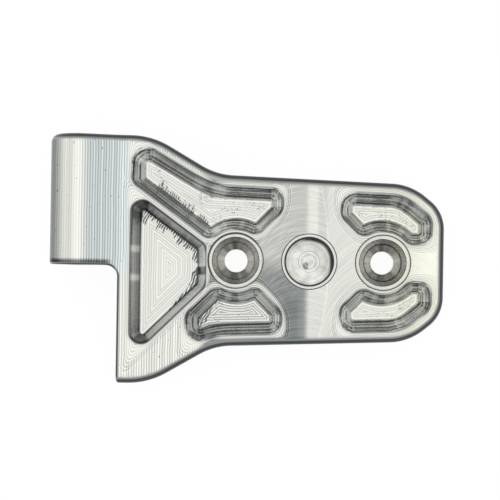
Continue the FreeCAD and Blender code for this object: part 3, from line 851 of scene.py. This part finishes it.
@dataclass(frozen=True)
class PocketFloors:
    """The flat floors, milled in rings that follow the walls, with painted shade along their
    feet.
    """

    plan: Plan = field(default_factory=Plan)
    pitch: float = 0.95
    wander: float = 0.8
    relief: float = 0.01
    wall_width: float = 4.45
    triangle_wall_width: float = 3.06
    tone: float = 0.985
    cusp: float = 0.13
    coarse_cusp: float = 0.2
    shade: float = 0.06
    vein: float = 0.28
    comb: float = 0.36
    triangle_comb: float = 0.12
    longest_tooth: float = 9.0
    shortest_tooth: float = -1.6
    tooth_flank: Span = (0.8, 0.45)
    beside_rib: Span = (9.5, 8.5)
    combed: Span = (-33.0, -36.0)
    foot: float = 0.2
    foot_width: Span = (0.45, 0.1)

    def marks_and_painted_light(self, bench: Bench, spot: Spot, passes: Tree) -> ToneAndRelief:
        """Tone and relief."""
        x, y = spot.x, spot.y
        width = self.wall_width + (self.triangle_wall_width - self.wall_width) * spot.in_triangle
        inward = spot.mitred - width
        wander = bench.noise(x * 0.22, y * 0.22, 1.0) * self.wander
        lines = bench.use(passes, phase=inward * (1 / self.pitch) + wander, seed=11.0)
        outside_triangle = 1.0 - spot.in_triangle
        lower_left = y.rise(-8.0, -10.0) * x.rise(-9.0, -10.0) * x.rise(-48.0, -47.0)
        cusp = lower_left * outside_triangle * self.coarse_cusp + self.cusp
        tone = self.tone - lines["cusp"] * cusp - lines["shade"] * self.shade
        mottle = bench.noise(x * 0.38, y * 0.38, 4.0)
        vein = (mottle * 5.0).fraction().band(0.0, 0.12, 0.04)
        rough = bench.noise(x * 0.16, y * 0.16, 8.0).rise(0.46, 0.58) * outside_triangle
        tone = tone - vein * rough * self.vein
        comb = self.comb_marks(bench, spot, passes, inward)
        tone = tone - comb * (spot.in_triangle * self.triangle_comb + self.comb)
        # Painted shade: the floor is darker in a thin band at the foot of the wall.
        return tone - inward.rise(*self.foot_width) * self.foot, lines["cusp"] * self.relief

    def comb_marks(self, bench: Bench, spot: Spot, passes: Tree, inward: Signal) -> Signal:
        """Mask of the dark teeth that the cutter left on the floors beside the two ribs.

        Args:
            bench: Where the nodes go.
            spot: The place.
            passes: The effect that counts the teeth.
            inward: How far the place lies inside the floor's edge.

        Returns:
            1 on a tooth and 0 beside it.
        """
        x, y, plan = spot.x, spot.y, self.plan
        slanted = x * 0.95 - y * 0.4 + bench.noise(x * 0.3, y * 0.3, 14.0) * 2.0
        teeth = bench.use(passes, phase=slanted, seed=53.0)
        reach = bench.noise(x * 0.12, y * 0.12, 12.0) * self.longest_tooth
        reach = (reach + self.shortest_tooth) * (teeth["shade"] * 0.7 + 0.45)
        above_rib = plan.inside(x, y, -plan.upper_rib[0], plan.upper_rib[1])
        below_rib = plan.inside(x, y, plan.lower_rib[0], -plan.lower_rib[1])
        bare_end = above_rib.rise(0.0, 1.0) * (1.0 - x.band(-60.0, -40.0, 2.0))
        bare_corner = spot.in_triangle * y.rise(0.0, -2.0) * x.rise(-50.0, -56.0)
        reach = reach * (1.0 - bare_end) * (1.0 - bare_corner)
        tooth = reach * (slanted.fraction().rise(*self.tooth_flank) * 0.7 + 0.3) - inward
        beside_rib = above_rib.size().least(below_rib.size()).rise(*self.beside_rib)
        return tooth.rise(-0.2, 0.4) * beside_rib * x.rise(*self.combed)


@dataclass(frozen=True)
class ScrewHoles:
    """The rings in a screw hole, from its turned seat out to its mouth.

    The bright mouth and the seat's lighter sides are painted highlights, and the dark lines at
    the steps are painted shade.
    """

    seat_radius: float = 7.1
    well_radius: float = 9.1
    seat: float = 0.58
    seat_sides: float = 0.40
    turned: float = 0.25
    seat_fan: float = 0.7
    well: float = 0.67
    well_grain: float = 0.55
    fan: float = 0.2
    mouth: float = 1.0
    mouth_rim: float = 0.14
    rim_span: Span = (10.0, 10.35)
    shadowed_rim: float = 0.5
    seat_line: float = 0.22
    nose_seat_line: float = 0.14
    step_line: float = 0.5
    outer_line: float = 0.25
    outer_line_band: Band = (10.52, 10.92, 0.08)

    def marks_and_painted_light(self, bench: Bench, spot: Spot) -> Signal:
        """Tone of the rings, with painted highlights and shade."""
        ring, x, y = spot.ring, spot.x, spot.y
        grain = bench.noise(x * 1.3, y * 1.3, spot.z * 0.6, detail=3.0, roughness=0.7) - 0.5
        turned = bench.noise(ring * 3.0, 0.0, 6.0) - 0.5
        fan = bench.noise(spot.lean_x * 3.0, spot.lean_y * 3.0, 18.0, detail=1.0) - 0.5
        seat = self.seat + spot.lean_x.size() * self.seat_sides
        seat = seat + turned * self.turned + fan * self.seat_fan
        well = self.well + grain * self.well_grain + fan * self.fan
        shadowed = (y * 0.8 - x * 0.6 - 17.0).rise(-2.0, 3.0) * x.rise(0.0, -1.0)
        rim = ring.rise(*self.rim_span) * (shadowed * self.shadowed_rim + self.mouth_rim)
        mouth = self.mouth - rim + fan * self.fan
        tone = seat.toward(well, ring.rise(self.seat_radius, self.seat_radius + 0.15))
        tone = tone.toward(mouth, self.beyond_well(spot))
        # Painted shade: dark lines at the seat's edge, the step and the mouth's outer edge.
        line = ring.band(self.seat_radius - 0.12, self.seat_radius + 0.42, 0.12)
        line = line * (x.rise(-2.0, 2.0) * self.nose_seat_line + self.seat_line)
        step = ring.band(self.well_radius - 0.1, self.well_radius + 0.08, 0.08)
        tone = tone - line - step * self.step_line
        return tone.toward(self.outer_line, ring.band(*self.outer_line_band))

    def beyond_well(self, spot: Spot) -> Signal:
        """1 from the chamfered mouth outwards and 0 inside it."""
        return spot.ring.rise(self.well_radius, self.well_radius + 0.2)

    def well_mask(self, spot: Spot) -> Signal:
        """1 in the well and the seat and 0 outside them."""
        return spot.in_hole * spot.ring.rise(self.well_radius + 0.1, self.well_radius - 0.1)


@dataclass(frozen=True)
class RoundRecess:
    """The round recess: a painted bright mouth, painted shade in its corner and at its floor's
    edge, and a turned floor.
    """

    radius: float = 9.6
    rings_each_millimetre: float = 1.25
    floor: float = 0.91
    cusp: float = 0.07
    shade: float = 0.09
    cloud: float = 0.45
    sector: float = 0.05
    outward: float = 0.09
    outward_span: Span = (4.5, 8.0)
    outer_ridge: float = 0.12
    outer_ridge_band: Band = (3.35, 3.75, 0.12)
    groove: float = 0.14
    groove_band: Band = (3.9, 4.2, 0.12)
    inner_ridge: float = 0.14
    inner_ridge_band: Band = (1.7, 2.0, 0.12)
    smudge: float = 0.32
    smudge_place: Span = (-1.3, -1.7)
    corner_shade: float = 0.5
    foot_line: float = 0.28
    wall: float = 0.72
    mouth: float = 1.0
    outer_line: float = 0.28
    outer_line_band: Band = (10.54, 10.92, 0.08)

    def marks_and_painted_light(self, bench: Bench, spot: Spot, passes: Tree) -> Signal:
        """Tone of the recess, with painted light and shade."""
        middle, x, y = spot.middle, spot.x, spot.y
        rings = bench.use(passes, phase=middle * self.rings_each_millimetre, seed=41.0)
        cloud = bench.noise(x * 0.22, y * 0.22, 7.0) - 0.5
        # Painted light and shade: the floor is lighter on one side and darker towards the wall.
        sector = (x * -0.6 - y * 0.8).rise(-7.0, 6.0)
        tone = self.floor - rings["cusp"] * self.cusp + (rings["shade"] - 0.5) * self.shade
        tone = tone + cloud * self.cloud + sector * self.sector
        tone = tone - middle.rise(*self.outward_span) * self.outward
        tone = tone + middle.band(*self.outer_ridge_band) * self.outer_ridge
        tone = tone - middle.band(*self.groove_band) * self.groove
        tone = tone + middle.band(*self.inner_ridge_band) * self.inner_ridge
        aside, across = x - self.smudge_place[0], y - self.smudge_place[1]
        smudge = (aside * aside + across * across * 0.5).root().rise(1.5, 0.7)
        # Painted shade in the far corner, and a painted dark ring at the floor's foot.
        corner = (x + y * 0.9).rise(2.5, 8.0) * middle.rise(7.8, 8.9)
        tone = tone - smudge * self.smudge - corner * self.corner_shade
        tone = tone.toward(self.foot_line, middle.rise(self.radius - 0.75, self.radius - 0.4))
        upright = spot.up.rise(0.4, 0.1) * spot.z.rise(10.6, 11.4)
        tone = tone.toward(self.wall, upright)
        tone = tone.toward(self.mouth, middle.rise(self.radius, self.radius + 0.12))
        return tone.toward(self.outer_line, middle.band(*self.outer_line_band))

    def mouth_mask(self, spot: Spot) -> Signal:
        """1 on the chamfered mouth and 0 elsewhere."""
        return spot.in_recess * spot.middle.rise(self.radius, self.radius + 0.1)


@dataclass(frozen=True)
class MilledAluminium:
    """Bright aluminium as it leaves the mill, with each zone's own cutter marks and painted
    light.

    A tone is how bright the metal looks facing the light, from 0, black, to 1, white.
    Much of it is painted shade and reflection, so it stays in place when the light or the view
    changes.
    """

    survey: Survey = field(default_factory=Survey)
    casts: Casts = field(default_factory=Casts)
    land: BallNoseLand = field(default_factory=BallNoseLand)
    top: FaceMilledTop = field(default_factory=FaceMilledTop)
    edge: RoundedEdge = field(default_factory=RoundedEdge)
    lips: PocketLips = field(default_factory=PocketLips)
    walls: PocketWalls = field(default_factory=PocketWalls)
    floors: PocketFloors = field(default_factory=PocketFloors)
    holes: ScrewHoles = field(default_factory=ScrewHoles)
    recess: RoundRecess = field(default_factory=RoundRecess)
    darkest: float = 0.02
    screen_gamma: float = 2.2
    ramp: Band = (-86.5, -70.0, 1.5)
    above_notch: Span = (-12.0, -2.0)
    nose: Span = (15.0, 45.0)
    shadow: Span = (0.75, 0.45)
    roughness: float = 0.22
    roughness_grain: float = 0.12
    relief_unit: float = 0.001
    matte_share: float = 0.8

    def build(self) -> bpy.types.Material:
        """Make the material."""
        material = bpy.data.materials.new("milled_aluminium")
        bench = Bench.emptied(material)
        passes = CutterPasses().build()
        spot = self.survey.of(bench)
        tone, relief = self.outside(bench, spot, passes)
        inner, inner_relief = self.inside_pockets(bench, spot, passes)
        tone = tone.toward(inner, spot.in_pocket)
        relief = relief.toward(inner_relief, spot.in_pocket)
        tone = tone.toward(self.holes.marks_and_painted_light(bench, spot), spot.in_hole)
        tone = tone.toward(self.recess.marks_and_painted_light(bench, spot, passes), spot.in_recess)
        self.shade(bench, spot, self.colour(bench, spot, tone), relief)
        return material

    def outside(self, bench: Bench, spot: Spot, passes: Tree) -> ToneAndRelief:
        """Tone and relief of the lands, the edges and the lips."""
        left, left_relief = self.land.marks_and_painted_light(bench, spot, passes)
        right, right_relief = self.top.marks_and_painted_light(bench, spot)
        tone = right.toward(left, spot.on_left)
        relief = left_relief.toward(right_relief, 1.0 - spot.on_left)
        tone = self.edge.over(bench, spot, tone)
        return self.lips.over(bench, spot, passes, tone), relief

    def inside_pockets(self, bench: Bench, spot: Spot, passes: Tree) -> ToneAndRelief:
        """Tone and relief of the walls and floors."""
        wall = self.walls.marks_and_painted_light(bench, spot)
        floor, relief = self.floors.marks_and_painted_light(bench, spot, passes)
        return wall.toward(floor, spot.on_floor), relief * spot.on_floor

    def colour(self, bench: Bench, spot: Spot, tone: Signal) -> Socket:
        """Turn a tone into a colour, with the warmer or cooler cast of its zone.

        On the ramp the cool cast is a painted reflection; the slate cast tints the painted
        shade.
        """
        casts, x = self.casts, spot.x
        ramp = x.band(*self.ramp) * spot.y.rise(*self.above_notch)
        wall = spot.in_pocket * (1.0 - spot.on_floor)
        cast = bench.blend(casts.plain, casts.cool_reflection, ramp)
        cast = bench.blend(cast, casts.cream, x.rise(*self.nose))
        cast = bench.blend(cast, casts.slate, tone.rise(*self.shadow))
        cast = bench.blend(cast, casts.steel, wall)
        cast = bench.blend(cast, casts.warm, self.holes.well_mask(spot))
        light = tone.most(self.darkest).least(1.0).power(self.screen_gamma)
        return bench.blend(casts.black, cast, light)

    def shade(self, bench: Bench, spot: Spot, colour: Socket, relief: Signal) -> None:
        """Put the shader together; the mouths and the lit walls are less of a mirror, so that
        their painted highlights show bright.
        """
        bump = bench.node("ShaderNodeBump")
        bench.wire(bump, strength=1.0, distance=self.relief_unit, height=relief)
        grain = bench.noise(spot.x * 0.9, spot.y * 0.9, spot.z * 0.9, detail=3.0)
        mouth = spot.in_hole * self.holes.beyond_well(spot)
        matte = mouth.most(self.recess.mouth_mask(spot), spot.glow)
        shader = bench.node("ShaderNodeBsdfPrincipled")
        bench.wire(
            shader,
            base_color=colour,
            metallic=1.0 - matte * self.matte_share,
            roughness=grain * self.roughness_grain + self.roughness,
            normal=bump.outputs["Normal"],
        )
        bench.wire(bench.node("ShaderNodeOutputMaterial"), surface=shader.outputs["BSDF"])


@dataclass
class HingeLeaf:
    """The leaf itself, milled from one block."""

    node: str = "hinge_leaf"
    marks_and_painted_light: MilledAluminium = field(default_factory=MilledAluminium)

    def dress(self) -> None:
        """Give the leaf its milled aluminium, with cutter marks and painted light and shade."""
        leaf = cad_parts[self.node]
        leaf.data.materials.clear()
        leaf.data.materials.append(self.marks_and_painted_light.build())
        LOG.info("dressed %s", self.node)


# ---------------------------------------------------------------- the studio, in metres


@dataclass(frozen=True)
class PaleFloor:
    """White where the camera or a shiny surface sees it, and pale matte under the light."""

    matte: Colour = paint(236, 236, 234)
    roughness: float = 0.9
    white: Colour = (1.0, 1.0, 1.0)
    strength: float = 1.04
    white_share: float = 0.9

    def build(self) -> bpy.types.Material:
        """Make the material; the matte share keeps a faint shadow under the leaf."""
        material = bpy.data.materials.new("pale_floor")
        bench = Bench.emptied(material)
        matte = bench.node("ShaderNodeBsdfPrincipled")
        bench.wire(matte, base_color=(*self.matte, 1.0), roughness=self.roughness)
        white = bench.node("ShaderNodeEmission")
        bench.wire(white, color=(*self.white, 1.0), strength=self.strength)
        path = bench.node("ShaderNodeLightPath")
        rays = ("Is Camera Ray", "Is Glossy Ray", "Is Transmission Ray")
        camera, *others = (Signal(bench, path.outputs[ray]) for ray in rays)
        share = camera.most(*others) * self.white_share
        mixed = bench.node("ShaderNodeMixShader")
        for socket, value in zip(mixed.inputs, (share, matte.outputs[0], white.outputs[0])):
            bench.feed(socket, value)
        bench.wire(bench.node("ShaderNodeOutputMaterial"), surface=mixed.outputs["Shader"])
        return material


@dataclass(frozen=True)
class WhiteSky:
    """A white sky, a little weaker overhead and stronger low at the left.

    The camera itself sees it plain white, so that no horizon shows above the floor.
    """

    horizon: float = 0.92
    overhead: float = 0.07
    overhead_span: Span = (0.0, 0.8)
    left: float = 0.06
    left_span: Span = (-0.2, -0.9)
    above_floor: Span = (-0.2, 0.3)
    seen: float = 1.0
    white: Colour = (1.0, 1.0, 1.0)

    def build(self) -> bpy.types.World:
        """Make the world."""
        world = bpy.data.worlds.new("studio")
        bench = Bench.emptied(world)
        heading = bench.node("ShaderNodeTexCoord")
        toward_x, _, above = bench.split(heading.outputs["Generated"])
        overhead = above.rise(*self.overhead_span)
        left = toward_x.rise(*self.left_span) * above.rise(*self.above_floor)
        strength = self.horizon - overhead * self.overhead + left * (1.0 - overhead) * self.left
        path = bench.node("ShaderNodeLightPath")
        strength = strength.toward(self.seen, Signal(bench, path.outputs["Is Camera Ray"]))
        glow = bench.node("ShaderNodeBackground")
        bench.wire(glow, color=(*self.white, 1.0), strength=strength)
        bench.wire(bench.node("ShaderNodeOutputWorld"), surface=glow.outputs["Background"])
        return world


@dataclass(frozen=True)
class Softbox:
    """A square softbox that faces the leaf.

    Attributes:
        name: What to call it.
        place: Where it hangs.
        width: The length of its sides.
        brightness: How bright its face looks, where 1 is a white sky.
    """

    name: str
    place: tuple[float, float, float]
    width: float
    brightness: float

    def hang(self) -> None:
        """Hang it in the studio."""
        data = bpy.data.lights.new(self.name, "AREA")
        data.size = self.width
        data.energy = math.pi * self.width * self.width * self.brightness
        lamp = bpy.data.objects.new(self.name, data)
        lamp.location = self.place
        lamp.rotation_euler = Vector(self.place).to_track_quat("Z", "Y").to_euler()
        bpy.context.scene.collection.objects.link(lamp)


@dataclass
class Studio:
    """A pale floor, soft light from above and the camera over the leaf."""

    floor_finish: PaleFloor = field(default_factory=PaleFloor)
    floor_radius: float = 3.0
    floor_sides: int = 96
    floor_drop: float = 0.0003
    sky: WhiteSky = field(default_factory=WhiteSky)
    softboxes: tuple[Softbox, ...] = (
        Softbox("softbox_above", (0.0, 0.0, 1.6), width=1.2, brightness=0.15),
        Softbox("softbox_left", (-1.3, 0.5, 1.0), width=0.8, brightness=0.12),
    )
    plate_top: float = 0.016
    camera_above: Span = (-0.0104, -0.0088)
    camera_height: float = 0.672
    camera_turn: float = 0.9
    view_width: float = 0.1931
    shift: Span = (-0.064, 0.068)
    sensor_width: float = 36.0
    clip_start: float = 0.01

    def build_floor(self) -> None:
        """Lay a pale round floor just under the leaf."""
        bpy.ops.object.select_all(action="DESELECT")
        bpy.ops.mesh.primitive_circle_add(
            vertices=self.floor_sides,
            radius=self.floor_radius,
            fill_type="NGON",
            location=(0, 0, -self.floor_drop),
        )
        floor = bpy.context.object
        floor.name = "floor"
        bpy.ops.object.transform_apply(location=True, rotation=True, scale=True)
        floor.data.materials.append(self.floor_finish.build())
        LOG.info("laid the floor")

    def light(self) -> None:
        """Light the leaf from a white sky and the softboxes."""
        bpy.context.scene.world = self.sky.build()
        for softbox in self.softboxes:
            softbox.hang()
        LOG.info("lit the studio")

    def place_camera(self) -> None:
        """Hang the camera straight over the leaf, turned and shifted to frame it."""
        data = bpy.data.cameras.new("camera")
        camera = bpy.data.objects.new("camera", data)
        bpy.context.scene.collection.objects.link(camera)
        camera.location = (*self.camera_above, self.camera_height)
        camera.rotation_euler = (0.0, 0.0, math.radians(self.camera_turn))
        distance = self.camera_height - self.plate_top
        data.sensor_width = self.sensor_width
        data.lens = data.sensor_width * distance / self.view_width
        data.shift_x, data.shift_y = self.shift
        data.clip_start = self.clip_start
        bpy.context.scene.camera = camera
        LOG.info("placed the camera")


def main() -> None:
    """Build everything in order."""
    logging.basicConfig(level=logging.INFO, format="%(message)s")
    HingeLeaf().dress()
    studio = Studio()
    studio.build_floor()
    studio.light()
    studio.place_camera()
    bpy.context.scene.view_settings.view_transform = "Standard"


if __name__ == "__main__":
    main()
